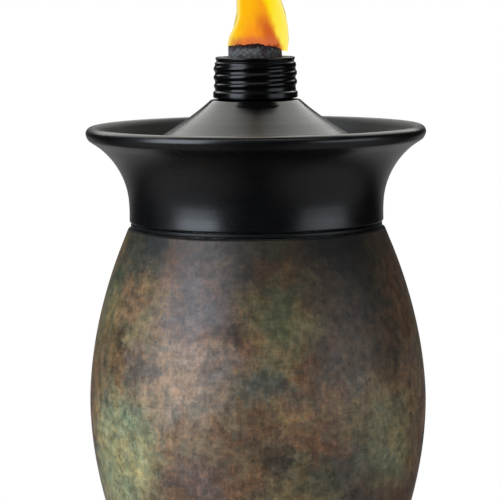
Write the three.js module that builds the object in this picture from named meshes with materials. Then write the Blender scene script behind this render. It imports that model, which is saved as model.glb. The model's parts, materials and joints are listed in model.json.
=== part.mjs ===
// Tabletop tiki torch. A barrel-shaped resin jar carries a flared steel collar, and a fuel canister with a
// conical shoulder and a threaded neck lifts out of it. The head drops over the spigot of an iron stand, and
// the spigot is as thick as a torch pole, so the same socket also takes a pole.
// Millimetres, +Z up. The origin is on the ground, under the axis that most pieces are turned about.
import * as THREE from "three";

// Driving dimensions.
const GAP = 0.3; // left between pieces that touch
const POLE_R = 12.7; // a 25.4 mm pole, and the spigot
const WICK_R = 12.7; // a 25.4 mm fibreglass wick
const PAD_H = 2.5;
const STAND_R = 66;
const STAND_H = 13.2;
const RECESS_H = 4; // depth of the recess that the spigot stands in
const SPIGOT_H = 36; // how far the spigot reaches into the socket
const SOCKET_H = 46;
const CAP_H = 3.7;
const JAR_GASKET_H = 1.2;
const JAR_R = 79.7; // the jar at its equator
const JAR_ABOVE = 83.1; // equator to mouth
const JAR_BELOW = 93.1; // equator to base
const JAR_TAPER = 19.3; // how much smaller the mouth's radius is than the equator's
const JAR_BEND = 1.87; // 2 would be a parabola
const JAR_WALL = 4;
const COLLAR_GASKET_H = 2.1;
const COLLAR_R = 59.9; // the collar's straight lower wall
const COLLAR_WALL = 1.2;
const COLLAR_STRAIGHT = 6.7; // height of that wall before the flare begins
const FLARE_R = 36.8; // radius of the flare's curve
const FLARE_TURN = 60; // degrees that the flare turns outwards
const LIP_R = 3; // the rolled lip
const LIP_CENTRE_R = 77;
const LIP_CENTRE_H = 42; // above the collar's foot
const CUP_DEPTH = 68; // the canister cup, below the collar's foot
const CUP_BASE = 1.2; // thickness of its floor
const CAN_PAD_H = 2.4;
const SHEET = 0.8; // tinplate of the cup and the canister
const CAN_R = 52.8;
const CAN_INSET = 9; // how far the canister's base is set up inside it
const SHOULDER_H = 34.4; // where the cone meets the can, above the collar's foot
const CONE_TOP_H = 57.2;
const CONE_TOP_R = 21;
const SPOUT_R = 17.4;
const NECK_R = 18.75; // at the root of the thread
const NECK_H = 19;
const THREAD_PITCH = 4.2;
const THREAD_DEPTH = 1;
const WICK_PROUD = 5.3; // how far the wick stands out of the neck
const WICK_CLEAR = 9; // from the wick's foot down to the canister's base
const FLAME_R = 13.3;
const FLAME_H = 64;

// Heights of the pieces, from the ground up.
const STAND_Z = PAD_H + GAP;
const STAND_TOP = STAND_Z + STAND_H;
const RECESS_Z = STAND_TOP - RECESS_H;
const HEAD_Z = STAND_TOP + GAP;
const CAP_TOP = HEAD_Z + CAP_H;
const SOCKET_TOP = HEAD_Z + SOCKET_H;
const JAR_Z = CAP_TOP + JAR_GASKET_H + 2 * GAP;
const EQUATOR_Z = JAR_Z + JAR_BELOW;
const MOUTH_Z = EQUATOR_Z + JAR_ABOVE;
const COLLAR_Z = MOUTH_Z + COLLAR_GASKET_H + 2 * GAP;
const CUP_Z = COLLAR_Z - CUP_DEPTH;
const CUP_FLOOR = CUP_Z + CUP_BASE;
const CAN_Z = CUP_FLOOR + CAN_PAD_H + 2 * GAP;
const CAN_BASE = CAN_Z + CAN_INSET;
const SHOULDER_Z = COLLAR_Z + SHOULDER_H;
const CONE_TOP = COLLAR_Z + CONE_TOP_H;
const NECK_Z = CONE_TOP + 1;
const NECK_TOP = NECK_Z + NECK_H;
const WICK_Z = CAN_BASE + WICK_CLEAR;
const WICK_TOP = NECK_TOP + WICK_PROUD;

const RING = 32; // facets round the large pieces
const SMALL_RING = 24;

function paint(color, roughness, metalness) {
  return new THREE.MeshStandardMaterial({ color, roughness, metalness });
}

const BLACK_STEEL = paint(0x1b1d1e, 0.38, 0.2);
const BLACK_IRON = paint(0x202122, 0.55, 0.2);
const ZINC_STEEL = paint(0x9a9c9b, 0.35, 0.9);
const TINPLATE = paint(0xb4b4b0, 0.3, 0.9);
const PATINA = paint(0x5b4a3a, 0.5, 0.15);
const RUBBER = paint(0x131415, 0.85, 0);
const FIBREGLASS = paint(0x4b4a47, 0.95, 0);
const HOT_GAS = paint(0xffb01e, 0.6, 0);

const torch = new THREE.Group();

function add(name, geometry, material) {
  const mesh = new THREE.Mesh(geometry, material);
  mesh.name = name;
  torch.add(mesh);
  return mesh;
}

// The solid that an outline of [radius, height] points, given anticlockwise, makes when it turns about +Z.
// An outline that starts on the axis also ends on it, and any other one is closed here.
function turned(outline, ring = RING) {
  const points = outline.map(([r, z]) => new THREE.Vector2(r, z));
  if (outline[0][0] > 0) points.push(points[0].clone());
  return new THREE.LatheGeometry(points, ring).rotateX(Math.PI / 2);
}

// The point of a circle about a centre at an angle in degrees, where 0 points away from the axis.
function onCircle([r, z], radius, degrees) {
  const angle = THREE.MathUtils.degToRad(degrees);
  return [r + radius * Math.cos(angle), z + radius * Math.sin(angle)];
}

// Points on an arc about a centre, from one angle to another.
function arc(centre, radius, from, to, steps) {
  return spread(from, to, steps).map((degrees) => onCircle(centre, radius, degrees));
}

// Values at equal steps from one number to another, both included.
function spread(from, to, steps) {
  return Array.from({ length: steps + 1 }, (_, i) => from + ((to - from) * i) / steps);
}

function ringOutline(inner, outer, bottom, top) {
  return [[inner, bottom], [outer, bottom], [outer, top], [inner, top]];
}

// A rod that stands on a flat end and has a chamfer round its top.
function rodOutline(radius, bottom, top, chamfer) {
  return [[0, bottom], [radius, bottom], [radius, top - chamfer], [radius - chamfer, top], [0, top]];
}

// Flat discs of one size, equally spaced on a circle and numbered from 1.
function addPads(name, count, circleR, padR, bottom, top, firstAngle) {
  for (let i = 0; i < count; i += 1) {
    const pad = add(`${name}_${i + 1}`, turned(rodOutline(padR, bottom, top, 0.5), 16), RUBBER);
    const angle = firstAngle + (2 * Math.PI * i) / count;
    pad.position.set(circleR * Math.cos(angle), circleR * Math.sin(angle), 0);
  }
}

// A hexagon nut with a plain hole.
function addNut(name, acrossFlats, holeR, bottom, height) {
  const corners = spread(0, 300, 5).map((degrees) => {
    const angle = THREE.MathUtils.degToRad(degrees);
    return new THREE.Vector2(Math.cos(angle), Math.sin(angle)).multiplyScalar(acrossFlats / Math.sqrt(3));
  });
  const hexagon = new THREE.Shape(corners);
  hexagon.holes.push(new THREE.Path().absarc(0, 0, holeR, 0, 2 * Math.PI, true));
  const options = { depth: height, bevelEnabled: false, curveSegments: 8 };
  add(name, new THREE.ExtrudeGeometry(hexagon, options).translate(0, 0, bottom), ZINC_STEEL);
}

// A cast disc with a rounded plinth and a cove above it. The spigot stands in a recess on top, and one
// countersunk screw holds it from below.
function addStand() {
  const corner = 2.3;
  const plinthTop = STAND_Z + 6.2;
  const cove = 11;
  const coveTopR = 51;
  const screwHole = 3.4;
  const sink = 3.5; // depth of the countersink, which has 45 degree sides
  add("stand_base", turned([
    [screwHole + sink, STAND_Z],
    ...arc([STAND_R - corner, STAND_Z + corner], corner, -90, 0, 3),
    ...arc([STAND_R - corner, plinthTop - corner], corner, 0, 90, 3),
    ...arc([coveTopR + cove, STAND_TOP + 1.5], cove, -110, -172, 4),
    [POLE_R + GAP, STAND_TOP],
    [POLE_R + GAP, RECESS_Z],
    [screwHole, RECESS_Z],
    [screwHole, STAND_Z + sink],
  ]), BLACK_IRON);

  const foot = RECESS_Z + GAP;
  const top = HEAD_Z + SPIGOT_H;
  const tapR = 3;
  const tapTop = foot + 14;
  add("stand_spigot", turned([
    [0, tapTop],
    [tapR, tapTop],
    [tapR, foot],
    [POLE_R, foot],
    [POLE_R, top - 2],
    [POLE_R - 2, top],
    [0, top],
  ], SMALL_RING), ZINC_STEEL);

  const shankR = tapR - GAP;
  const headZ = STAND_Z + GAP;
  const headR = screwHole + sink - 2 * GAP;
  add("spigot_screw", turned([
    [0, headZ],
    [headR, headZ],
    [shankR, headZ + headR - shankR],
    [shankR, tapTop - 2],
    [0, tapTop - 2],
  ], 16), ZINC_STEEL);

  addPads("foot_pad", 4, STAND_R - 14, 6, 0, PAD_H, Math.PI / 4);
}

// The plate and the pole socket under the jar.
function addSocket() {
  const socketR = 15.5;
  const bore = 13.1;
  const flangeR = 19;
  const flangeTop = HEAD_Z + 1.7;
  const tapR = 4.2;
  add("pole_socket", turned([
    [bore, HEAD_Z],
    [flangeR, HEAD_Z],
    [flangeR, flangeTop],
    [socketR, flangeTop],
    [socketR, SOCKET_TOP],
    [tapR, SOCKET_TOP],
    [tapR, SOCKET_TOP - 6],
    [bore, SOCKET_TOP - 6],
  ], SMALL_RING), ZINC_STEEL);

  const capR = 55.6;
  const edge = (CAP_TOP - HEAD_Z) / 2;
  add("bottom_cap", turned([
    [flangeR + GAP, HEAD_Z],
    ...arc([capR - edge, HEAD_Z + edge], edge, -90, 90, 4),
    [socketR + GAP, CAP_TOP],
    [socketR + GAP, flangeTop + GAP],
    [flangeR + GAP, flangeTop + GAP],
  ]), BLACK_STEEL);

  add("jar_gasket", turned(ringOutline(34, 52.5, CAP_TOP + GAP, JAR_Z - GAP)), RUBBER);
}

function jarRadius(z) {
  return JAR_R - JAR_TAPER * (Math.abs(z - EQUATOR_Z) / JAR_ABOVE) ** JAR_BEND;
}

// A barrel with a thick floor, holed for the socket, and an open mouth.
function addJar() {
  const floor = JAR_Z + 5;
  const hole = 16.2;
  const edge = 1.2;
  const lip = 0.9;
  const mouthR = jarRadius(MOUTH_Z);
  add("jar", turned([
    [hole, JAR_Z],
    [jarRadius(JAR_Z) - edge, JAR_Z],
    ...spread(JAR_Z + edge, MOUTH_Z - lip, 11).map((z) => [jarRadius(z), z]),
    [mouthR - lip, MOUTH_Z],
    [mouthR - JAR_WALL + lip, MOUTH_Z],
    ...spread(MOUTH_Z - lip, floor, 8).map((z) => [jarRadius(z) - JAR_WALL, z]),
    [hole, floor],
  ]), PATINA);

  const gasketTop = COLLAR_Z - GAP;
  add("collar_gasket", turned(ringOutline(56.4, 59.3, MOUTH_Z + GAP, gasketTop)), RUBBER);
}

// A spun collar: a foot flange, a short straight wall, a flare and a rolled lip. Inside, a steeper face leads
// from the lip down to the flare.
function addCollar() {
  const flare = [COLLAR_R + FLARE_R, COLLAR_Z + COLLAR_STRAIGHT];
  const inside = FLARE_R + COLLAR_WALL;
  const lip = [LIP_CENTRE_R, COLLAR_Z + LIP_CENTRE_H];
  const foot = COLLAR_R - 4;
  const bend = 0.6;
  const lipEnd = 150;
  const faceEnd = 138;
  const handle = 4;
  const face = new THREE.CubicBezierCurve(
    new THREE.Vector2(...onCircle(lip, LIP_R, lipEnd)),
    new THREE.Vector2(...onCircle(onCircle(lip, LIP_R, lipEnd), handle, lipEnd + 90)),
    new THREE.Vector2(...onCircle(onCircle(flare, inside, faceEnd), handle, faceEnd - 90)),
    new THREE.Vector2(...onCircle(flare, inside, faceEnd)),
  );
  add("collar", turned([
    [foot, COLLAR_Z],
    [COLLAR_R - bend, COLLAR_Z],
    [COLLAR_R, COLLAR_Z + bend],
    ...arc(flare, FLARE_R, 180, 180 - FLARE_TURN, 6),
    ...arc(lip, LIP_R, -30, lipEnd, 6),
    ...face.getPoints(4).slice(1, -1).map((p) => [p.x, p.y]),
    ...arc(flare, inside, faceEnd, 180, 4),
    [COLLAR_R - COLLAR_WALL, COLLAR_Z + COLLAR_WALL],
    [foot, COLLAR_Z + COLLAR_WALL],
  ]), BLACK_STEEL);
}

// The cup that the canister stands in, and the rod that draws cup, collar, jar and plate together.
function addCup() {
  const cupR = CAN_R + 2.6;
  const rim = COLLAR_Z + COLLAR_WALL + GAP;
  const rimR = COLLAR_R - COLLAR_WALL - GAP;
  const rodR = 3.9;
  const clearR = rodR + GAP;
  const nutFlats = 13;
  const washerR = 11;
  const corner = 2;
  add("canister_cup", turned([
    [clearR, CUP_Z],
    [cupR - corner, CUP_Z],
    [cupR, CUP_Z + corner],
    [cupR, rim],
    [rimR, rim],
    [rimR, rim + SHEET],
    [cupR - SHEET, rim + SHEET],
    [cupR - SHEET, CUP_FLOOR + corner],
    [cupR - SHEET - corner, CUP_FLOOR],
    [clearR, CUP_FLOOR],
  ]), TINPLATE);

  const washerZ = CUP_FLOOR + GAP;
  const washerH = 1.2;
  const nutZ = washerZ + washerH + GAP;
  const nutH = 4.5;
  const washer = ringOutline(clearR, washerR, washerZ, washerZ + washerH);
  add("tie_washer", turned(washer, SMALL_RING), ZINC_STEEL);
  addNut("tie_nut", nutFlats, clearR, nutZ, nutH);
  addNut("tie_jam_nut", nutFlats, clearR, SOCKET_TOP + GAP, 6);
  add("tie_rod", turned(rodOutline(rodR, SOCKET_TOP - 5, nutZ + nutH + 1.2, 0.6), 16), ZINC_STEEL);
  addPads("canister_pad", 3, CAN_R - 4.4, 4, CUP_FLOOR + GAP, CAN_Z - GAP, Math.PI / 2);
}

// The fuel canister: a tube, an inset base seamed over its foot, and a cone seamed over its top.
function addCanister() {
  const seamR = CAN_R + GAP + SHEET;
  const seamH = 3.6;
  const wallIn = CAN_R - SHEET;
  const baseR = wallIn - GAP;
  add("canister_body", turned(ringOutline(wallIn, CAN_R, CAN_Z + SHEET + GAP, SHOULDER_Z - 0.6)), TINPLATE);

  add("canister_bottom", turned([
    [0, CAN_BASE],
    [baseR - SHEET, CAN_BASE],
    [baseR - SHEET, CAN_Z],
    [seamR, CAN_Z],
    [seamR, CAN_Z + seamH],
    [seamR - SHEET, CAN_Z + seamH],
    [seamR - SHEET, CAN_Z + SHEET],
    [baseR, CAN_Z + SHEET],
    [baseR, CAN_BASE + SHEET],
    [0, CAN_BASE + SHEET],
  ]), TINPLATE);

  // The cone's side is slightly hollow. Its underside is the same curve, a sheet's thickness lower.
  const coneFoot = new THREE.Vector2(CAN_R, SHOULDER_Z + 0.6);
  const coneBend = new THREE.Vector2(30, CONE_TOP - 8.4);
  const coneTop = new THREE.Vector2(CONE_TOP_R, CONE_TOP);
  const side = new THREE.QuadraticBezierCurve(coneFoot, coneBend, coneTop);
  const over = side.getPoints(6).map((p) => [p.x, p.y]);
  const under = side.getPoints(5).map((p) => [p.x, p.y - 1.4 * SHEET]).reverse();
  const spoutTop = NECK_Z + 3.8;
  add("canister_cone", turned([
    [seamR - SHEET, SHOULDER_Z - seamH],
    [seamR, SHOULDER_Z - seamH],
    [seamR, SHOULDER_Z],
    ...over,
    [SPOUT_R, CONE_TOP + 0.4],
    [SPOUT_R, spoutTop],
    [SPOUT_R - SHEET, spoutTop],
    [SPOUT_R - SHEET, CONE_TOP - SHEET],
    ...under,
    [seamR - SHEET, SHOULDER_Z - GAP],
  ]), BLACK_STEEL);
}

// How far the thread stands out at a turn and height: one right-hand start that fades out at both ends.
function threadHeight(turn, z, bottom, top) {
  const fade = Math.min(1, (z - bottom) / THREAD_PITCH, (top - z) / THREAD_PITCH);
  const phase = (z - bottom) / THREAD_PITCH - turn;
  return THREAD_DEPTH * Math.max(0, fade) * (0.5 + 0.5 * Math.cos(2 * Math.PI * phase));
}

// The threaded neck sleeve round the spout, counterbored to seat the wick holder's flange.
function addNeck() {
  const threadZ = NECK_Z + 3.1;
  const threadTop = NECK_Z + 16.4;
  const fitR = SPOUT_R + GAP;
  const bandR = NECK_R + THREAD_DEPTH + 0.15; // a plain band under the thread
  const bore = WICK_R + 2.3;
  const seatR = bore + 1.8;
  const seat = NECK_TOP - 1.3;
  const inside = NECK_Z + 4.1;
  const sleeve = turned([
    [fitR, NECK_Z],
    [bandR, NECK_Z],
    [bandR - 0.2, threadZ],
    ...spread(threadZ + 0.4, threadTop, 17).map((z) => [NECK_R, z]),
    [NECK_R + 0.4, threadTop + 0.4],
    [NECK_R + 0.2, NECK_TOP - 0.8],
    [NECK_R - 0.5, NECK_TOP],
    [seatR, NECK_TOP],
    [seatR, seat],
    [bore, seat],
    [bore, inside],
    [fitR, inside],
  ], SMALL_RING);

  const places = sleeve.getAttribute("position");
  for (let i = 0; i < places.count; i += 1) {
    const [x, y, z] = [places.getX(i), places.getY(i), places.getZ(i)];
    const r = Math.hypot(x, y);
    const onThread = Math.abs(r - NECK_R) < 0.01 && z > threadZ && z < threadTop + 0.01;
    if (!onThread) continue;
    const stretch = 1 + threadHeight(Math.atan2(y, x) / (2 * Math.PI), z, threadZ, threadTop) / r;
    places.setXY(i, x * stretch, y * stretch);
  }
  add("canister_neck", sleeve, BLACK_STEEL);
}

// The wick, the flanged tube that holds it in the neck, and the flame.
function addWick() {
  const tubeIn = WICK_R + 0.25;
  const tubeR = tubeIn + 0.85;
  const tubeFoot = NECK_TOP - 30;
  const flange = NECK_TOP - 1;
  const flangeR = WICK_R + 3.8;
  add("wick_holder", turned([
    [tubeIn, tubeFoot],
    [tubeR, tubeFoot],
    [tubeR, flange],
    [flangeR, flange],
    [flangeR, flange + SHEET],
    [tubeIn, flange + SHEET],
  ], SMALL_RING), BLACK_STEEL);

  add("wick", turned(rodOutline(WICK_R, WICK_Z, WICK_TOP, 1), SMALL_RING), FIBREGLASS);
}

// The flame is a thin open-bottomed shell that narrows to a tip and sways to one side.
function addFlame() {
  const sway = 2;
  const skin = 0.6;
  const bottom = WICK_TOP + GAP;
  const flameR = (h) => FLAME_R * (1 - (h / FLAME_H) ** 1.4);
  const shell = turned([
    [0, bottom + FLAME_H * 0.9],
    ...spread(0, FLAME_H * 0.8, 6).map((h) => [flameR(h) - skin, bottom + h]).reverse(),
    ...spread(0, FLAME_H, 8).map((h) => [flameR(h), bottom + h]),
  ], 16);
  const places = shell.getAttribute("position");
  for (let i = 0; i < places.count; i += 1) {
    const rise = (places.getZ(i) - bottom) / FLAME_H;
    places.setX(i, places.getX(i) + sway * Math.sin(3 * rise));
  }
  add("flame", shell, HOT_GAS);
}

addStand();
addSocket();
addJar();
addCollar();
addCup();
addCanister();
addNeck();
addWick();
addFlame();

export default torch;
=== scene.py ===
"""The looks of the tiki torch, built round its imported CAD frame.

Most CAD nodes are turned shapes. Each is turned again here, finer, from the outline that its own
mesh has in one half-plane. The neck, the nuts, the wick and the flame are made in functions of
their own. Metres, +Z up.
"""
import json
import math

import bpy
import bmesh
import numpy as np
from mathutils import Matrix, Vector, noise


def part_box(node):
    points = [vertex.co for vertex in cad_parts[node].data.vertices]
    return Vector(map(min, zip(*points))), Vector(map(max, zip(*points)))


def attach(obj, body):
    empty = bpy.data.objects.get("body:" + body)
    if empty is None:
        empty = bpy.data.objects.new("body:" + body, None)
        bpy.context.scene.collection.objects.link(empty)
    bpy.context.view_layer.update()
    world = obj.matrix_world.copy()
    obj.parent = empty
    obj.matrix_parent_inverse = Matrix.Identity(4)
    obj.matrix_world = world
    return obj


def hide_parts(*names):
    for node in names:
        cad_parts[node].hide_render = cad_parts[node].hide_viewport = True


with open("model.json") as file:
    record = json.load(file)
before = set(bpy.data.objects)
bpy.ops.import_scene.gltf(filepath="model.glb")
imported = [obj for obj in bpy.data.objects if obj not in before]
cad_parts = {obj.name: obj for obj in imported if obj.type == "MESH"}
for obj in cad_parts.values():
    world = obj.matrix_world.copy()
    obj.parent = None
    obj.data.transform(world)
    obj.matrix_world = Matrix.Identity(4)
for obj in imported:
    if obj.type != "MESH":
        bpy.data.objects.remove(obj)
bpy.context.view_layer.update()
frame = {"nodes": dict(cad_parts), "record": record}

MM = 0.001
CORNER = math.radians(40)  # an outline that turns more than this at a point has a corner there
TOUCHING = 1e-6  # points closer than this are one point
FINEST = 192  # facets round the jar and the collar
FINE = 160  # facets round the other large pieces
SMALL = 72  # facets round the small ones


# ---------------------------------------------------------------- outlines

def meridian(node):
    """A turned CAD node's outline, anticlockwise as (radius, height), and the x and y of its axis."""
    low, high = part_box(node)
    x, y = (low.x + high.x) / 2, (low.y + high.y) / 2
    mesh = frame["nodes"][node].data
    at = {v.index: (round(y - v.co.y, 6), round(v.co.z, 6)) for v in mesh.vertices
          if abs(v.co.x - x) < 1e-5 and v.co.y < y + 1e-5}
    links = {}
    for face in mesh.polygons:
        for a, b in face.edge_keys:
            if a in at and b in at and at[a] != at[b]:
                links.setdefault(at[a], set()).add(at[b])
                links.setdefault(at[b], set()).add(at[a])
    ends = [point for point in links if len(links[point]) == 1]
    outline = [min(ends or links, key=lambda point: (point[1], point[0]))]
    while True:
        onward = sorted(p for p in links[outline[-1]] if p not in outline)
        if not onward:
            break
        outline.append(onward[0])
    following = outline[1:] + outline[:1]
    area = sum(a[0] * b[1] - b[0] * a[1] for a, b in zip(outline, following))
    if area < 0:
        outline.reverse()
    return [Vector(point) for point in outline], (x, y)


def is_closed(outline):
    """Whether the outline goes round a hollow piece, and so doesn't start on the axis."""
    return outline[0].x > TOUCHING


def refined(outline, fillet, corner=CORNER, steps=6):
    """The outline with a small arc at each corner and a fine curve where it bends smoothly."""
    closed = is_closed(outline)
    count = len(outline)
    spans = [outline[(i + 1) % count] - outline[i] for i in range(count if closed else count - 1)]

    def tangent(i):
        """The outline's direction at a smooth point, or None at a corner or an end."""
        if not closed and i in (0, count - 1):
            return None
        before, after = spans[i - 1], spans[i % len(spans)]
        if before.angle(after) > corner:
            return None
        if before.length > 2.5 * after.length:
            return before.normalized()
        if after.length > 2.5 * before.length:
            return after.normalized()
        return (before.normalized() * after.length + after.normalized() * before.length).normalized()

    def cut(i):
        """How far the arc at a corner reaches along the spans that meet there."""
        if not closed and i in (0, count - 1):
            return 0.0
        return min(fillet, 0.4 * spans[i - 1].length, 0.4 * spans[i % len(spans)].length)

    fine = []
    for i, span in enumerate(spans):
        j = (i + 1) % count
        along = span.normalized()
        start_turn, end_turn = tangent(i), tangent(j)
        start, end = outline[i].copy(), outline[j].copy()
        if start_turn is None:
            start += along * cut(i)
        if end_turn is None:
            end -= along * cut(j)
        reach = (end - start).length
        leaving = (start_turn or along) * reach
        arriving = (end_turn or along) * reach
        bends = [turn.angle(along) for turn in (start_turn, end_turn) if turn]
        number = 1 if max(bends, default=0.0) < 0.01 else steps
        for k in range(number + 1):
            t = k / number
            fine.append((2 * t**3 - 3 * t**2 + 1) * start + (t**3 - 2 * t**2 + t) * leaving
                        + (3 * t**2 - 2 * t**3) * end + (t**3 - t**2) * arriving)
        if end_turn is None and cut(j) > 0:
            beyond = outline[j] + spans[j % len(spans)].normalized() * cut(j)
            for k in range(1, 4):
                t = k / 4
                fine.append((1 - t)**2 * end + 2 * t * (1 - t) * outline[j] + t * t * beyond)
    kept = [fine[0]]
    for point in fine[1:]:
        if (point - kept[-1]).length > TOUCHING:
            kept.append(point)
    if closed and (kept[0] - kept[-1]).length < TOUCHING:
        kept.pop()
    return kept


# ---------------------------------------------------------------- meshes

def mesh_object(name, vertices, faces):
    """A smooth-shaded mesh in the scene."""
    mesh = bpy.data.meshes.new(name)
    mesh.from_pydata([tuple(v) for v in vertices], [], faces)
    mesh.polygons.foreach_set("use_smooth", [True] * len(mesh.polygons))
    mesh.update()
    piece = bpy.data.objects.new(name, mesh)
    bpy.context.scene.collection.objects.link(piece)
    return piece


def spin(name, outline, segments, centre=(0, 0), shape=None):
    """The solid that an outline makes when it turns about an upright axis.

    shape(angle, radius, height) gives a point's new radius.
    """
    vertices, rows = [], []
    for point in outline:
        if point.x < TOUCHING:
            rows.append([len(vertices)] * segments)
            vertices.append((centre[0], centre[1], point.y))
            continue
        rows.append(list(range(len(vertices), len(vertices) + segments)))
        for k in range(segments):
            angle = 2 * math.pi * k / segments
            radius = shape(angle, point.x, point.y) if shape else point.x
            vertices.append((centre[0] + radius * math.cos(angle),
                             centre[1] + radius * math.sin(angle), point.y))
    pairs = list(zip(rows, rows[1:]))
    if is_closed(outline):
        pairs.append((rows[-1], rows[0]))
    faces = []
    for low, high in pairs:
        for k in range(segments):
            m = (k + 1) % segments
            corners = [low[k], low[m], high[m], high[k]]
            unique = list(dict.fromkeys(corners))
            if len(unique) > 2:
                faces.append(unique)
    piece = mesh_object(name, vertices, faces)
    even_shading = piece.modifiers.new("even_shading", "WEIGHTED_NORMAL")
    even_shading.keep_sharp = False
    return piece


def stand_in(piece, node, body, material):
    """Gives a piece its material and puts it in the CAD node's place."""
    piece.data.materials.clear()
    piece.data.materials.append(material)
    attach(piece, body)
    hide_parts(node)
    return piece


BODY_OF = {node: body for body, nodes in frame["record"]["behaviour"]["bodies"].items()
           for node in nodes}


def respin(node, material, fillet=0.4 * MM, segments=FINE, corner=CORNER):
    """A turned CAD node made fine: its outline refined, then turned again round its own axis."""
    outline, centre = meridian(node)
    piece = spin(node + "_fine", refined(outline, fillet, corner), segments, centre)
    return stand_in(piece, node, BODY_OF[node], material)


# ---------------------------------------------------------------- materials

class Paint:
    """A procedural material: its Principled shader and short calls for the nodes that feed it."""

    def __init__(self, name, **settings):
        self.material = bpy.data.materials.new(name)
        self.material.use_nodes = True
        self.tree = self.material.node_tree
        self.shader = self.tree.nodes["Principled BSDF"]
        self.place = self.node("ShaderNodeTexCoord").outputs["Object"]
        for socket, value in settings.items():
            self.shader.inputs[socket.replace("_", " ")].default_value = value

    def node(self, kind, inputs=None, **settings):
        made = self.tree.nodes.new(kind)
        for key, value in settings.items():
            setattr(made, key, value)
        for key, value in (inputs or {}).items():
            if isinstance(value, bpy.types.NodeSocket):
                self.tree.links.new(value, made.inputs[key])
            else:
                made.inputs[key].default_value = value
        return made

    def feed(self, socket, value):
        self.tree.links.new(value, self.shader.inputs[socket])

    def coordinates(self, place=None):
        """The x, y and z of a place, by default the point being painted."""
        return tuple(self.node("ShaderNodeSeparateXYZ", {0: place or self.place}).outputs)

    def vector(self, operation, a, b):
        return self.node("ShaderNodeVectorMath", {0: a, 1: b}, operation=operation).outputs[0]

    def distance(self, a, b):
        return self.node("ShaderNodeVectorMath", {0: a, 1: b}, operation="DISTANCE").outputs["Value"]

    def scaled(self, vector, x, y, z):
        """The place, stretched by a factor along each axis."""
        return self.vector("MULTIPLY", vector, (x, y, z))

    def noise(self, vector, scale, detail=4.0, roughness=0.5, colour=False):
        made = self.node("ShaderNodeTexNoise", {"Vector": vector, "Scale": scale, "Detail": detail,
                                                "Roughness": roughness})
        return made.outputs["Color" if colour else "Fac"]

    def stretch(self, value, low, high, to_low=0.0, to_high=1.0, smooth=False):
        """Maps low..high to to_low..to_high and clamps the rest."""
        made = self.node("ShaderNodeMapRange", {"Value": value, "From Min": low, "From Max": high,
                                                "To Min": to_low, "To Max": to_high})
        if smooth:
            made.interpolation_type = "SMOOTHSTEP"
        return made.outputs["Result"]

    def math(self, operation, a, b=0.0):
        return self.node("ShaderNodeMath", {0: a, 1: b}, operation=operation).outputs[0]

    def mix(self, share, a, b, blend="MIX"):
        made = self.node("ShaderNodeMix", data_type="RGBA", blend_type=blend)
        for index, value in ((0, share), (6, a), (7, b)):
            if isinstance(value, bpy.types.NodeSocket):
                self.tree.links.new(value, made.inputs[index])
            else:
                made.inputs[index].default_value = (*value, 1.0) if index else value
        return made.outputs[2]

    def ramp(self, value, stops):
        """Colours at places from 0 to 1."""
        made = self.node("ShaderNodeValToRGB", {"Fac": value})
        band = made.color_ramp.elements
        while len(band) < len(stops):
            band.new(0.5)
        for element, (place, colour) in zip(band, stops):
            element.position = place
            element.color = (*colour, 1.0)
        return made.outputs["Color"]

    def bump(self, height, strength, distance, under=None):
        inputs = {"Height": height, "Strength": strength, "Distance": distance}
        if under is not None:
            inputs["Normal"] = under
        return self.node("ShaderNodeBump", inputs).outputs["Normal"]


def rgb(red, green, blue):
    """A colour given as it looks on a screen, from 0 to 255, as the linear light that shaders use."""
    return tuple(((c / 255 + 0.055) / 1.055) ** 2.4 if c > 10 else c / 255 / 12.92
                 for c in (red, green, blue))


# The collar's flare is an arc in section. The arc's centre lies outside the collar, this far out
# from the wall's outer face and this far up from the foot, so the flare's outer face is FLARE_OUT
# from it and its inner face is farther by the steel's thickness.
COLLAR_RADIUS = 59.9 * MM
FLARE_OUT, FLARE_UP = 36.8 * MM, 6.7 * MM
# Distances from the centre, within the steel, between which the outer face's paint gives way to dust.
CLEAN_WITHIN, DUSTY_BEYOND = 37.2 * MM, 37.6 * MM
# Radii between which the dust ends, short of the lip.
DUSTY_TO, LIP_FROM = 75 * MM, 77 * MM
DUST = rgb(52, 52, 50)


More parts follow.
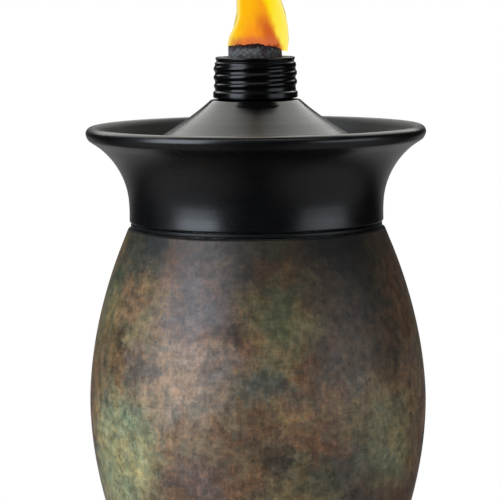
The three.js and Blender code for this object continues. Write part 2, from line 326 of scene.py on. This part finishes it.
def black_steel_paint(name, colour, rough, gloss=0.5, turned=1.0, dull_below=0.0, bowl_foot=None):
    """Black paint over spun sheet: turning lines, an uneven sheen and a little dust.

    From 3 mm below the height dull_below it loses its shine. With bowl_foot, the height of the
    collar's foot, the inside of the collar's bowl is dull and dusty.
    """
    paint = Paint(name, Metallic=0.0, Specular_IOR_Level=gloss)
    x, y, z = paint.coordinates()
    squares = paint.math("ADD", paint.math("MULTIPLY", x, x), paint.math("MULTIPLY", y, y))
    radius = paint.math("SQRT", squares)
    rings = paint.node("ShaderNodeCombineXYZ", {0: radius, 1: z}).outputs[0]
    lines = paint.noise(rings, 900.0, 3.0, 0.6)
    wide_lines = paint.noise(rings, 160.0, 2.0, 0.5)
    grain = paint.noise(paint.place, 2600.0, 3.0, 0.6)
    clouds = paint.noise(paint.place, 35.0, 5.0, 0.6)
    dust = paint.stretch(clouds, 0.35, 0.75)
    tone = paint.mix(dust, colour, tuple(1.5 * c + 0.0004 for c in colour))
    shine = paint.math("ADD", paint.stretch(clouds, 0.3, 0.7, rough - 0.04, rough + 0.05),
                       paint.stretch(lines, 0.3, 0.7, -0.02 * turned, 0.03 * turned))
    dull = paint.stretch(z, dull_below - 12 * MM, dull_below - 3 * MM, 0.19, 0.0)
    shine = paint.math("ADD", shine, dull)
    if bowl_foot is not None:
        # Below the arc's centre the wall is upright, so a point there counts as being at its height.
        centre = (COLLAR_RADIUS + FLARE_OUT, bowl_foot + FLARE_UP, 0)
        raised = paint.math("MAXIMUM", z, centre[1])
        section = paint.node("ShaderNodeCombineXYZ", {0: radius, 1: raised}).outputs[0]
        away = paint.distance(section, centre)
        inside = paint.math("MULTIPLY", paint.stretch(away, CLEAN_WITHIN, DUSTY_BEYOND),
                            paint.stretch(radius, LIP_FROM, DUSTY_TO))
        tone = paint.mix(inside, tone, DUST)
        shine = paint.math("ADD", shine, paint.math("MULTIPLY", inside, 0.25))
    paint.feed("Base Color", tone)
    paint.feed("Roughness", shine)
    under = paint.bump(wide_lines, 0.16 * turned, 0.0002)
    under = paint.bump(lines, 0.16 * turned, 0.00008, under)
    paint.feed("Normal", paint.bump(grain, 0.08, 0.00005, under))
    return paint.material


def metal_paint(name, colour, rough, stretch_z):
    """Bare or plated metal with fine drawing marks along or round it."""
    paint = Paint(name, Metallic=1.0)
    marks = paint.noise(paint.scaled(paint.place, 1.0, 1.0, stretch_z), 1500.0, 3.0, 0.6)
    stains = paint.noise(paint.place, 45.0, 5.0, 0.6)
    tone = paint.mix(paint.stretch(stains, 0.35, 0.7), colour, tuple(0.72 * c for c in colour))
    paint.feed("Base Color", tone)
    paint.feed("Roughness", paint.math("ADD", paint.stretch(marks, 0.3, 0.7, rough - 0.05, rough + 0.08),
                                       paint.stretch(stains, 0.3, 0.7, 0.0, 0.1)))
    paint.feed("Normal", paint.bump(marks, 0.15, 0.00005))
    return paint.material


def iron_paint():
    """Black-painted casting: a sandy grain, soft lumps and greyer clouds."""
    paint = Paint("iron", Metallic=0.0, Specular_IOR_Level=0.45)
    sand = paint.noise(paint.place, 1100.0, 4.0, 0.6)
    lumps = paint.noise(paint.place, 220.0, 3.0, 0.5)
    clouds = paint.noise(paint.place, 40.0, 4.0, 0.6)
    clouded = paint.stretch(clouds, 0.35, 0.7)
    paint.feed("Base Color", paint.mix(clouded, rgb(30, 31, 32), rgb(46, 46, 45)))
    paint.feed("Roughness", paint.stretch(sand, 0.3, 0.7, 0.42, 0.62))
    under = paint.bump(lumps, 0.25, 0.0003)
    paint.feed("Normal", paint.bump(sand, 0.35, 0.00012, under))
    return paint.material


def rubber_paint():
    """Black rubber with a faint grey bloom."""
    paint = Paint("rubber", Specular_IOR_Level=0.25)
    fine = paint.noise(paint.place, 1400.0, 3.0, 0.6)
    bloom = paint.noise(paint.place, 70.0, 4.0, 0.6)
    bloomed = paint.stretch(bloom, 0.35, 0.7)
    paint.feed("Base Color", paint.mix(bloomed, rgb(12, 13, 14), rgb(20, 22, 24)))
    paint.feed("Roughness", paint.stretch(fine, 0.3, 0.7, 0.30, 0.44))
    paint.feed("Normal", paint.bump(fine, 0.2, 0.00006))
    return paint.material


RUST, COPPER, TAN = rgb(98, 68, 50), rgb(122, 95, 73), rgb(122, 107, 76)
OLIVE, MOSS, LICHEN = rgb(84, 84, 60), rgb(132, 132, 100), rgb(152, 148, 108)
SLATE, INK, UMBER = rgb(60, 66, 66), rgb(22, 23, 26), rgb(58, 49, 40)
MAUVE, SAND = rgb(100, 87, 86), rgb(140, 118, 100)

# The patina's larger patches: tint, degrees round from the front (positive to the right),
# millimetres below the jar's top, reach in millimetres, and strength.
PATCHES = [
    (OLIVE, -70, 40, 40, 0.6), (MAUVE, -24, 28, 26, 0.85), (SLATE, -52, 8, 14, 0.9),
    (COPPER, -36, 16, 10, 0.7), (COPPER, -56, 30, 15, 0.7), (TAN, -48, 42, 9, 0.6),
    (INK, -54, 49, 9, 0.6), (SAND, -26, 66, 34, 0.85), (SLATE, -41, 57, 13, 0.7),
    (MAUVE, -16, 58, 12, 0.5), (MOSS, -52, 92, 34, 0.95), (LICHEN, -46, 112, 18, 0.8),
    (MOSS, -62, 116, 26, 0.9), (SLATE, -60, 74, 9, 0.6), (COPPER, -24, 90, 18, 0.7),
    (RUST, -12, 84, 10, 0.6), (MAUVE, -20, 106, 15, 0.7), (RUST, -4, 98, 22, 0.6),
    (UMBER, 2, 12, 20, 0.65), (RUST, 20, 6, 13, 0.6), (OLIVE, 10, 33, 22, 0.95),
    (INK, -8, 37, 11, 0.75), (INK, 38, 6, 26, 0.95), (UMBER, 42, 28, 42, 0.9),
    (UMBER, 50, 58, 14, 0.6), (TAN, 17, 37, 11, 0.55), (TAN, 6, 53, 16, 0.75),
    (SLATE, 4, 64, 9, 0.6), (RUST, -1, 80, 12, 0.7), (COPPER, 16, 71, 16, 0.5),
    (TAN, 40, 74, 20, 0.5), (INK, 6, 98, 9, 0.6), (SLATE, 37, 102, 20, 0.6),
    (OLIVE, 18, 108, 16, 0.7), (MOSS, 51, 96, 28, 0.65), (RUST, 150, 40, 36, 0.7),
    (MOSS, 120, 95, 38, 0.8), (SLATE, 178, 90, 34, 0.8), (COPPER, -125, 50, 38, 0.7),
    (SLATE, -100, 100, 30, 0.8), (UMBER, 90, 40, 34, 0.7),
]


def patina_paint():
    """Faux bronze: blotches of rust, olive and slate, sponged on and faintly hatched.

    Painted shade darkens it towards the collar, most of all on the very edge under the gasket.
    """
    paint = Paint("patina", Metallic=0.0, Specular_IOR_Level=0.4)
    place = paint.place
    for scale, reach in ((26.0, 0.030), (110.0, 0.024), (340.0, 0.013)):
        wander = paint.noise(paint.place, scale, 4.0, 0.6, colour=True)
        shift = paint.vector("SUBTRACT", wander, (0.5, 0.5, 0.5))
        place = paint.vector("ADD", place, paint.scaled(shift, reach, reach, reach))

    # The ground: rust that clouds over into umber, tan and olive.
    broad = paint.noise(place, 17.0, 6.0, 0.6)
    second = paint.noise(place, 31.0, 6.0, 0.62)
    ground = [(0.30, UMBER), (0.42, RUST), (0.52, COPPER), (0.60, TAN), (0.72, OLIVE)]
    colour = paint.ramp(broad, ground)
    colour = paint.mix(paint.stretch(second, 0.50, 0.70), colour, SLATE)
    colour = paint.mix(paint.stretch(second, 0.48, 0.28), colour, RUST)

    for tint, degrees, below, reach, strength in PATCHES:
        angle = math.radians(degrees)
        height = JAR_TOP - below * MM
        radius = jar_radius(height)
        spot = (radius * math.sin(angle), -radius * math.cos(angle), height)
        away = paint.distance(place, spot)
        share = paint.stretch(away, 1.15 * reach * MM, 0.25 * reach * MM, 0.0, strength, smooth=True)
        colour = paint.mix(share, colour, tint)

    # Sponge marks: dabs of other tints, then colder and warmer places, then clumps, speckle and
    # hatching that are lighter or darker than what is under them.
    dabs = paint.noise(place, 95.0, 7.0, 0.7)
    colour = paint.mix(paint.stretch(dabs, 0.54, 0.66, 0.0, 0.6), colour, INK)
    colour = paint.mix(paint.stretch(dabs, 0.46, 0.32, 0.0, 0.3), colour, COPPER)
    for scale, detail, cold, warm in ((55.0, 3.0, (0.88, 0.97, 1.00), (1.13, 1.02, 0.89)),
                                      (190.0, 2.5, (0.74, 0.86, 0.87), (1.22, 1.09, 0.91))):
        tinge = paint.noise(place, scale, detail, 0.55)
        hue = paint.ramp(tinge, [(0.36, cold), (0.49, (1.0, 1.0, 1.0)), (0.62, warm)])
        colour = paint.mix(1.0, colour, hue, "MULTIPLY")
    clumps = paint.noise(paint.place, 230.0, 5.0, 0.66)
    speckle = paint.noise(paint.place, 1100.0, 3.0, 0.7)
    upright = paint.noise(paint.scaled(paint.place, 1.0, 1.0, 0.09), 900.0, 3.0, 0.6)
    level = paint.noise(paint.scaled(paint.place, 0.12, 0.12, 1.0), 900.0, 3.0, 0.6)
    for pattern, contrast in ((clumps, 0.40), (speckle, 0.10), (upright, 0.11), (level, 0.08)):
        tone = paint.stretch(pattern, 0.34, 0.66, 1.0 - contrast, 1.0 + contrast)
        colour = paint.mix(1.0, colour, tone, "MULTIPLY")

    # Painted shade: over the top 36 mm the colour darkens towards the collar, down to about a quarter.
    # On the last millimetre under the gasket it drops to a fifth of that, and that edge is also made
    # rougher.
    _, _, height = paint.coordinates(place)
    painted_shade = paint.stretch(height, JAR_TOP - 36 * MM, JAR_TOP - 2 * MM, 1.0, 0.26)
    _, _, level_height = paint.coordinates()
    rim_shade_and_dullness = paint.stretch(level_height, JAR_TOP - 0.9 * MM, JAR_TOP - 0.3 * MM)
    painted_shade = paint.math("MULTIPLY", painted_shade, paint.stretch(rim_shade_and_dullness, 0.0, 1.0, 1.0, 0.2))
    paint.feed("Base Color", paint.mix(1.0, colour, painted_shade, "MULTIPLY"))
    paint.feed("Roughness", paint.math("ADD", paint.stretch(dabs, 0.3, 0.7, 0.38, 0.52), rim_shade_and_dullness))
    under = paint.bump(dabs, 0.10, 0.0006)
    under = paint.bump(clumps, 0.12, 0.00025, under)
    paint.feed("Normal", paint.bump(speckle, 0.08, 0.0001, under))
    return paint.material


def wick_paint(low, top):
    """Braided fibreglass: pale grey below, sooty and stained where it stands out, burnt at the end."""
    paint = Paint("wick", Roughness=0.95, Specular_IOR_Level=0.1)
    x, y, height = paint.coordinates()
    # The grooves between strands that run both ways round the rope, which get painted shade below.
    turn = paint.math("DIVIDE", paint.math("ARCTAN2", y, x), 2 * math.pi)
    climb = paint.math("DIVIDE", paint.math("SUBTRACT", height, low), WICK_LAY)
    strand = 1.0
    for way in (1, -1):
        phase = paint.math("ADD", turn, paint.math("MULTIPLY", climb, way))
        wave = paint.math("SINE", paint.math("MULTIPLY", phase, math.pi * WICK_STRANDS))
        strand = paint.math("MULTIPLY", paint.math("ABSOLUTE", wave), strand)
    ragged = paint.noise(paint.place, 650.0, 4.0, 0.65)
    level = paint.math("ADD", height, paint.stretch(ragged, 0.3, 0.7, -0.0014, 0.0014))
    soot = paint.stretch(height, top - 0.030, top - 0.006)
    fibre = paint.noise(paint.place, 1500.0, 3.0, 0.6)
    stains = paint.noise(paint.place, 230.0, 4.0, 0.6)
    clean = paint.mix(fibre, rgb(150, 146, 138), rgb(190, 186, 176))
    sooty = paint.ramp(stains, [(0.38, rgb(72, 62, 66)), (0.46, rgb(92, 90, 90)),
                                (0.54, rgb(104, 103, 102)), (0.62, rgb(74, 80, 72))])
    burnt = paint.mix(fibre, rgb(16, 12, 12), rgb(62, 40, 36))
    colour = paint.mix(soot, clean, sooty)
    colour = paint.mix(paint.stretch(level, top - 0.0024, top - 0.0010), colour, burnt)
    # Painted shade: the colour darkens by about a third in the grooves between strands, and fibre noise
    # varies it by a fifth either way.
    groove_shade_and_fibre_tone = paint.math("MULTIPLY", paint.stretch(fibre, 0.3, 0.7, 0.8, 1.2),
                       paint.stretch(strand, 0.0, 0.5, 0.68, 1.05))
    paint.feed("Base Color", paint.mix(1.0, colour, groove_shade_and_fibre_tone, "MULTIPLY"))
    paint.feed("Normal", paint.bump(fibre, 0.5, 0.0002))
    return paint.material


def flame_paint(low):
    """Burning gas: golden on the left, yellow on the right, and between them an orange tongue.

    The tongue leans right and darkens towards the wick. Both edges are pale, with a thin smoky outline.
    """
    paint = Paint("flame", Roughness=1.0, Specular_IOR_Level=0.0, Emission_Strength=1.0)
    paint.shader.inputs["Base Color"].default_value = (0, 0, 0, 1)
    x, _, z = paint.coordinates()
    lick = paint.noise(paint.scaled(paint.place, 1.0, 1.0, 0.12), 420.0, 3.0, 0.5)
    swirl = paint.noise(paint.scaled(paint.place, 1.0, 1.0, 0.3), 90.0, 2.0, 0.5)
    shift = paint.math("ADD", paint.stretch(lick, 0.3, 0.7, -0.0007, 0.0007),
                       paint.stretch(swirl, 0.3, 0.7, -0.0012, 0.0012))
    place_x = paint.math("ADD", x, shift)

    golden = [(0.0, rgb(255, 214, 60)), (0.2, rgb(255, 200, 24)),
              (0.5, rgb(254, 182, 18)), (0.9, rgb(249, 160, 26))]
    colour = paint.ramp(paint.stretch(place_x, -0.010, 0.004), golden)
    warmth = paint.math("MULTIPLY", paint.stretch(place_x, -0.008, -0.004),
                        paint.stretch(z, low + 0.015, low + 0.003, 0.0, 0.8))
    colour = paint.mix(warmth, colour, rgb(250, 138, 40))
    # How far a point lies to the right of the tongue's middle, which leans right as it comes down.
    middle = paint.stretch(z, low, low + 0.023, 0.0094, 0.0008)
    beside = paint.math("SUBTRACT", place_x, middle)
    yellow = paint.mix(paint.stretch(place_x, 0.006, 0.013), rgb(252, 222, 10), rgb(255, 236, 90))
    colour = paint.mix(paint.stretch(beside, 0.0005, 0.0042, smooth=True), colour, yellow)
    tongue = paint.math("MULTIPLY", paint.stretch(beside, -0.0072, -0.0012, smooth=True),
                        paint.stretch(beside, 0.0038, 0.0004, smooth=True))
    depth = paint.stretch(z, low + 0.018, low + 0.007, smooth=True)
    colour = paint.mix(paint.math("MULTIPLY", tongue, depth), colour, rgb(206, 98, 38))
    # Near the wick everything but the two edges turns salmon, then dark red.
    base = paint.math("ADD", z, paint.stretch(lick, 0.3, 0.7, -0.001, 0.001))
    inside = paint.math("MULTIPLY", paint.stretch(x, -0.0130, -0.0095), paint.stretch(x, 0.0125, 0.0095))
    for from_height, to_height, strength, tint in ((0.0055, 0.0015, 0.8, rgb(208, 106, 66)),
                                                   (0.0012, -0.0004, 0.9, rgb(96, 34, 26))):
        share = paint.stretch(base, low + from_height, low + to_height, 0.0, strength, smooth=True)
        colour = paint.mix(paint.math("MULTIPLY", share, inside), colour, tint)

    left = paint.stretch(z, low, low + 0.014, -0.0131, -0.0085, smooth=True)
    right = paint.stretch(z, low + 0.005, low + 0.032, 0.0159, 0.0102, smooth=True)
    margin = paint.math("MINIMUM", paint.math("SUBTRACT", x, left), paint.math("SUBTRACT", right, x))
    low_part = paint.stretch(z, low + 0.030, low + 0.024)
    pale = paint.math("MULTIPLY", paint.stretch(margin, 0.0020, 0.0006, 0.0, 0.7), low_part)
    colour = paint.mix(pale, colour, rgb(255, 240, 140))
    smoke = paint.math("MULTIPLY", paint.stretch(margin, 0.0005, 0.0001, 0.0, 0.5), low_part)
    paint.feed("Emission Color", paint.mix(smoke, colour, rgb(176, 134, 56)))
    return paint.material


# ---------------------------------------------------------------- sizes read from the frame

WICK_STRANDS, WICK_LAY = 22, 52 * MM  # strands each way, and the height in which one goes once round
JAR_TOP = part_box("jar")[1].z
jar_outline = [p for p in meridian("jar")[0] if p.x > 0.03]
JAR_SIDE = sorted({(p.y, p.x) for p in jar_outline
                   if p.x >= max(q.x for q in jar_outline if abs(q.y - p.y) < 0.004) - 1e-6})


def jar_radius(height):
    """The jar's outer radius at a height."""
    return float(np.interp(height, [y for y, _ in JAR_SIDE], [x for _, x in JAR_SIDE]))


# ---------------------------------------------------------------- the pieces

satin_black = black_steel_paint("satin_black", rgb(5, 5, 6), 0.27, bowl_foot=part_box("collar")[0].z)
cone_black = black_steel_paint("cone_black", rgb(5, 5, 5), 0.11, turned=1.8,
                               dull_below=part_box("canister_neck")[0].z)
neck_black = black_steel_paint("neck_black", rgb(2, 2, 2), 0.22, gloss=0.3, turned=0.5)
zinc = metal_paint("zinc", (0.52, 0.53, 0.54), 0.32, 0.15)
tinplate = metal_paint("tinplate", (0.62, 0.61, 0.58), 0.24, 6.0)
iron = iron_paint()
rubber = rubber_paint()
patina = patina_paint()


def make_stand():
    """The cast base on its feet, with the spigot that the head stands on."""
    respin("stand_base", iron, fillet=0.8 * MM)
    respin("stand_spigot", zinc, fillet=0.6 * MM, segments=SMALL)
    respin("spigot_screw", zinc, fillet=0.3 * MM, segments=SMALL)
    for i in range(1, 5):
        respin(f"foot_pad_{i}", rubber, fillet=0.5 * MM, segments=SMALL)


def make_head():
    """The jar with its collar on top, its plate and socket below, and the cup and tie rod inside."""
    respin("bottom_cap", satin_black)
    respin("pole_socket", zinc, segments=SMALL)
    respin("jar_gasket", rubber)
    respin("jar", patina, fillet=0.5 * MM, segments=FINEST)
    respin("collar_gasket", rubber, fillet=0.7 * MM)
    respin("collar", satin_black, segments=FINEST)
    respin("canister_cup", tinplate)
    respin("tie_rod", zinc, segments=SMALL)
    respin("tie_washer", zinc, segments=SMALL)
    for i in range(1, 4):
        respin(f"canister_pad_{i}", rubber, fillet=0.5 * MM, segments=SMALL)


def make_canister():
    """The fuel canister up to its conical shoulder."""
    respin("canister_body", tinplate)
    respin("canister_bottom", tinplate)
    respin("canister_cone", cone_black, fillet=0.5 * MM, corner=math.radians(25))


def make_neck():
    """The neck with its thread cut fine: one right-hand start that fades out at both ends."""
    pitch, depth = 4.2 * MM, 0.66 * MM
    root, band, crown = 18.95 * MM, 19.9 * MM, 18.5 * MM  # radii of the groove, the foot and the top
    low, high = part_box("canister_neck")
    bottom, top = low.z + 3.1 * MM, low.z + 16.4 * MM  # where the thread starts and ends
    side = [(band - 0.3 * MM, low.z), (band, low.z + 0.3 * MM), (band, bottom - 0.7 * MM),
            (band - 0.15 * MM, bottom - 0.3 * MM), (root + 0.2 * MM, bottom)]
    rows = 72
    start = bottom + 0.3 * MM
    side += [(root, start + (top - start) * k / rows) for k in range(rows + 1)]
    # The crown over the thread is undercut: it widens evenly towards the top edge.
    side += [(crown - 0.3 * MM + 0.5 * MM * k / 6, top + 0.3 * MM + (high.z - top - 0.8 * MM) * k / 6)
             for k in range(7)]
    side += [(crown + 0.1 * MM, high.z - 0.2 * MM), (crown - 0.3 * MM, high.z)]
    # The CAD outline from the top's inner edge down the bore and back to the foot.
    outline, _ = meridian("canister_neck")
    bore = [p for p in outline if p.x < 17.9 * MM]
    first = max(range(len(bore)), key=lambda i: (bore[i].y, bore[i].x))
    inside = bore[first:] + bore[:first]

    def thread(angle, radius, height):
        if abs(radius - root) > 1e-6 or not bottom < height < top:
            return radius
        fade = min(1.0, (height - bottom) / pitch * 1.6, (top - height) / pitch * 1.6)
        phase = (height - bottom) / pitch - angle / (2 * math.pi)
        wave = 0.5 + 0.5 * math.tanh(1.3 * math.cos(2 * math.pi * phase)) / math.tanh(1.3)
        return radius + depth * fade * wave

    piece = spin("canister_neck_fine", [Vector(point) for point in side] + inside, 144, shape=thread)
    stand_in(piece, "canister_neck", "canister", neck_black)


def make_nuts():
    """The hexagon nuts, with their edges broken."""
    for node in ("tie_nut", "tie_jam_nut"):
        nut = bpy.data.objects.new(node + "_fine", frame["nodes"][node].data.copy())
        bpy.context.scene.collection.objects.link(nut)
        solid = bmesh.new()
        solid.from_mesh(nut.data)
        bmesh.ops.remove_doubles(solid, verts=solid.verts, dist=1e-6)
        bmesh.ops.dissolve_limit(solid, angle_limit=0.01, verts=solid.verts, edges=solid.edges)
        solid.to_mesh(nut.data)
        solid.free()
        edges = nut.modifiers.new("broken_edges", "BEVEL")
        edges.width = 0.5 * MM
        edges.segments = 2
        stand_in(nut, node, BODY_OF[node], zinc)


def make_wick():
    """The braided wick in its holder: strands cross over and under each other round the rope."""
    respin("wick_holder", neck_black, fillet=0.25 * MM, segments=SMALL)
    low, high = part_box("wick")
    radius = high.x

    def braid(angle, rim, height):
        if rim < radius - 1.5 * MM:
            return rim
        turn, climb = angle / (2 * math.pi), (height - low.z) / WICK_LAY
        one = WICK_STRANDS * (turn + climb)
        two = WICK_STRANDS * (turn - climb)
        crossing = math.sin(math.pi * (one + two) / 2) * math.sin(math.pi * (one - two) / 2)
        over = 0.5 + 0.5 * math.tanh(3 * crossing)
        strand = (abs(math.sin(math.pi * one)) ** 0.7 * over
                  + abs(math.sin(math.pi * two)) ** 0.7 * (1 - over))
        soft = noise.noise(Vector((math.cos(angle), math.sin(angle), height * 60)) * 3)
        return rim - 0.55 * MM + (0.5 * strand + 0.12 * soft) * MM

    rows = 200
    side_low, side_high = low.z + 0.4 * MM, high.z - 1.2 * MM
    outline = [(0, low.z), (radius - 1.6 * MM, low.z)]
    outline += [(radius, side_low + (side_high - side_low) * k / rows) for k in range(rows + 1)]
    outline += [(radius - 0.2 * MM, high.z - 0.6 * MM), (radius - 0.8 * MM, high.z - 0.1 * MM),
                (radius - 2.2 * MM, high.z)]
    outline += [(radius * share, high.z - 0.1 * MM) for share in (0.7, 0.5, 0.3, 0.15, 0.0)]
    piece = spin("wick_fine", [Vector(point) for point in outline], 132, shape=braid)
    # The burnt end stands a little higher than the CAD's, and is lumpy.
    for vertex in piece.data.vertices:
        if vertex.co.z > side_high:
            lump = noise.noise(vertex.co * 420) * 0.3 * MM + noise.noise(vertex.co * 1100) * 0.3 * MM
            vertex.co.z += lump + 1.1 * MM
    stand_in(piece, "wick", "wick", wick_paint(low.z, high.z + 0.8 * MM))


def make_flame():
    """The flame: stacked ovals that widen over the wick, lean and narrow to a curling tip."""
    low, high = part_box("flame")
    height = high.z - low.z
    # How far its two sides stand from the wick's axis, in millimetres, at shares of its height.
    rise = [-0.03, 0.0, 0.06, 0.12, 0.24, 0.35, 0.47, 0.62, 0.78, 0.90, 1.0]
    left = [-12.0, -13.0, -12.1, -10.2, -8.5, -8.5, -8.8, -8.0, -4.8, -2.2, 1.2]
    right = [13.6, 15.2, 15.9, 15.6, 14.3, 11.9, 9.9, 7.2, 4.6, 3.4, 1.8]
    rows, around = 90, 72
    vertices, faces = [], []
    dip = 0.004  # the share by which it starts below the wick's top
    for k in range(rows + 1):
        t = -dip + (1 + dip) * k / rows
        a, b = (float(np.interp(t, rise, edge)) * MM for edge in (left, right))
        middle, half = (a + b) / 2, (b - a) / 2
        for m in range(around):
            angle = 2 * math.pi * m / around
            fold = 1 + 0.07 * t * math.sin(3 * angle + 9 * t) + 0.05 * math.sin(5 * angle - 14 * t)
            side = abs(math.cos(angle))
            swell = fold * (1 - side) + side
            x = middle + half * math.cos(angle) * swell
            y = 0.86 * half * math.sin(angle) * swell + 1.5 * MM * math.sin(5 * t)
            # The lobe on the right hangs down past the wick's edge.
            drop = 3.2 * MM * max(0.0, 6 * math.cos(angle) - 5) * max(0.0, 1 - 8 * (t + dip))
            vertices.append((x, y, low.z + t * height - drop))
    for k in range(rows):
        for m in range(around):
            n = (m + 1) % around
            faces.append([k * around + m, k * around + n, (k + 1) * around + n, (k + 1) * around + m])
    faces.append([rows * around + m for m in range(around)])
    faces.append(list(reversed(range(around))))
    piece = mesh_object("flame_fine", vertices, faces)
    stand_in(piece, "flame", "wick", flame_paint(low.z))


# ---------------------------------------------------------------- studio

def softbox(name, place, target, width, height, power, colour=(1, 1, 1)):
    """A rectangular light that faces a point and isn't seen itself."""
    light = bpy.data.lights.new(name, "AREA")
    light.shape = "RECTANGLE"
    light.size, light.size_y = width, height
    light.energy = power
    light.color = colour
    lamp = bpy.data.objects.new(name, light)
    lamp.location = place
    lamp.rotation_euler = (Vector(target) - Vector(place)).to_track_quat("-Z", "Y").to_euler()
    lamp.visible_camera = False
    bpy.context.scene.collection.objects.link(lamp)


def aim(azimuth, elevation):
    """The direction at so many degrees round from the front, positive to the right, and up."""
    around, up = math.radians(azimuth), math.radians(elevation)
    return Vector((math.sin(around) * math.cos(up), -math.cos(around) * math.cos(up), math.sin(up)))


def make_lights():
    middle = Vector((0, 0, 0.21))
    softbox("key", middle + 0.75 * aim(-53, 17), middle, 0.54, 0.74, 6.8, (0.80, 0.89, 1.0))
    softbox("fill", middle + 0.9 * aim(61, 3), middle, 0.72, 0.46, 1.9, (0.82, 0.91, 1.0))
    softbox("back", middle + 1.0 * aim(-175, 50), middle, 1.9, 1.04, 14.0, (1.0, 1.0, 0.96))
    softbox("top", middle + 1.0 * aim(0, 56), middle, 1.4, 0.30, 1.6, (1.0, 0.99, 0.97))


def make_surround():
    """White to the camera. To every other ray it is dim, with soft glowing cards round it."""
    world = bpy.data.worlds.new("studio")
    bpy.context.scene.world = world
    world.use_nodes = True
    tree = world.node_tree
    way = tree.nodes.new("ShaderNodeTexCoord").outputs["Generated"]
    glow = None
    cards = ((-72, -38, 50, 0.32), (72, -38, 50, 0.32), (180, -34, 48, 0.45), (180, 4, 32, 0.13))
    for azimuth, elevation, spread, strength in cards:
        facing = tree.nodes.new("ShaderNodeVectorMath")
        facing.operation = "DOT_PRODUCT"
        facing.inputs[1].default_value = aim(azimuth, elevation)
        tree.links.new(way, facing.inputs[0])
        card = tree.nodes.new("ShaderNodeMapRange")
        card.interpolation_type = "SMOOTHSTEP"
        card.inputs["From Min"].default_value = math.cos(math.radians(spread))
        card.inputs["To Max"].default_value = strength
        tree.links.new(facing.outputs["Value"], card.inputs["Value"])
        both = tree.nodes.new("ShaderNodeMath")
        both.operation = "MAXIMUM"
        both.inputs[0].default_value = 0.02  # how bright it is beside the cards
        if glow:
            tree.links.new(glow, both.inputs[0])
        tree.links.new(card.outputs["Result"], both.inputs[1])
        glow = both.outputs[0]
    path = tree.nodes.new("ShaderNodeLightPath")
    seen = tree.nodes.new("ShaderNodeMath")
    seen.operation = "MAXIMUM"
    tree.links.new(path.outputs["Is Camera Ray"], seen.inputs[0])
    tree.links.new(glow, seen.inputs[1])
    tree.links.new(seen.outputs[0], tree.nodes["Background"].inputs["Strength"])
    tree.nodes["Background"].inputs["Color"].default_value = (1, 1, 1, 1)


def make_floor():
    """A pale disc that fades into the white surround."""
    bpy.ops.mesh.primitive_circle_add(vertices=96, radius=2.0, fill_type="NGON")
    floor = bpy.context.object
    floor.name = "floor"
    floor.visible_glossy = False
    material = bpy.data.materials.new("floor")
    floor.data.materials.append(material)
    material.use_nodes = True
    tree = material.node_tree
    shader = tree.nodes["Principled BSDF"]
    shader.inputs["Base Color"].default_value = (0.8, 0.8, 0.8, 1)
    shader.inputs["Roughness"].default_value = 0.9
    shader.inputs["Specular IOR Level"].default_value = 0.0
    glow = tree.nodes.new("ShaderNodeEmission")
    path = tree.nodes.new("ShaderNodeLightPath")
    place = tree.nodes.new("ShaderNodeTexCoord")
    away = tree.nodes.new("ShaderNodeVectorMath")
    away.operation = "LENGTH"
    fade = tree.nodes.new("ShaderNodeMapRange")
    fade.inputs["From Min"].default_value = 0.10
    fade.inputs["From Max"].default_value = 0.30
    fade.interpolation_type = "SMOOTHSTEP"
    seen = tree.nodes.new("ShaderNodeMath")
    seen.operation = "MULTIPLY"
    blend = tree.nodes.new("ShaderNodeMixShader")
    tree.links.new(place.outputs["Object"], away.inputs[0])
    tree.links.new(away.outputs["Value"], fade.inputs["Value"])
    tree.links.new(fade.outputs["Result"], seen.inputs[0])
    tree.links.new(path.outputs["Is Camera Ray"], seen.inputs[1])
    tree.links.new(seen.outputs[0], blend.inputs[0])
    tree.links.new(shader.outputs[0], blend.inputs[1])
    tree.links.new(glow.outputs[0], blend.inputs[2])
    tree.links.new(blend.outputs[0], tree.nodes["Material Output"].inputs["Surface"])


def make_camera():
    """A portrait lens a little over a metre away, held above the collar and looking slightly down."""
    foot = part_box("collar")[0].z
    eye = Vector((-0.0032, -1.2, foot + 0.121))
    target = Vector((-0.0032, 0, foot - 0.014))
    width = 0.2365  # what the picture spans at the torch
    roll = math.radians(-0.5)
    way = target - eye
    lens = bpy.data.cameras.new("camera")
    lens.sensor_width = 36
    lens.lens = 36 * way.length / width
    lens.clip_start = 0.1
    lens.clip_end = 30
    camera = bpy.data.objects.new("camera", lens)
    turn = way.to_track_quat("-Z", "Y").to_matrix().to_4x4() @ Matrix.Rotation(roll, 4, "Z")
    camera.matrix_world = Matrix.Translation(eye) @ turn
    bpy.context.scene.collection.objects.link(camera)
    bpy.context.scene.camera = camera


make_stand()
make_head()
make_canister()
make_neck()
make_nuts()
make_wick()
make_flame()
make_lights()
make_surround()
make_floor()
make_camera()
bpy.context.scene.view_settings.view_transform = "Standard"
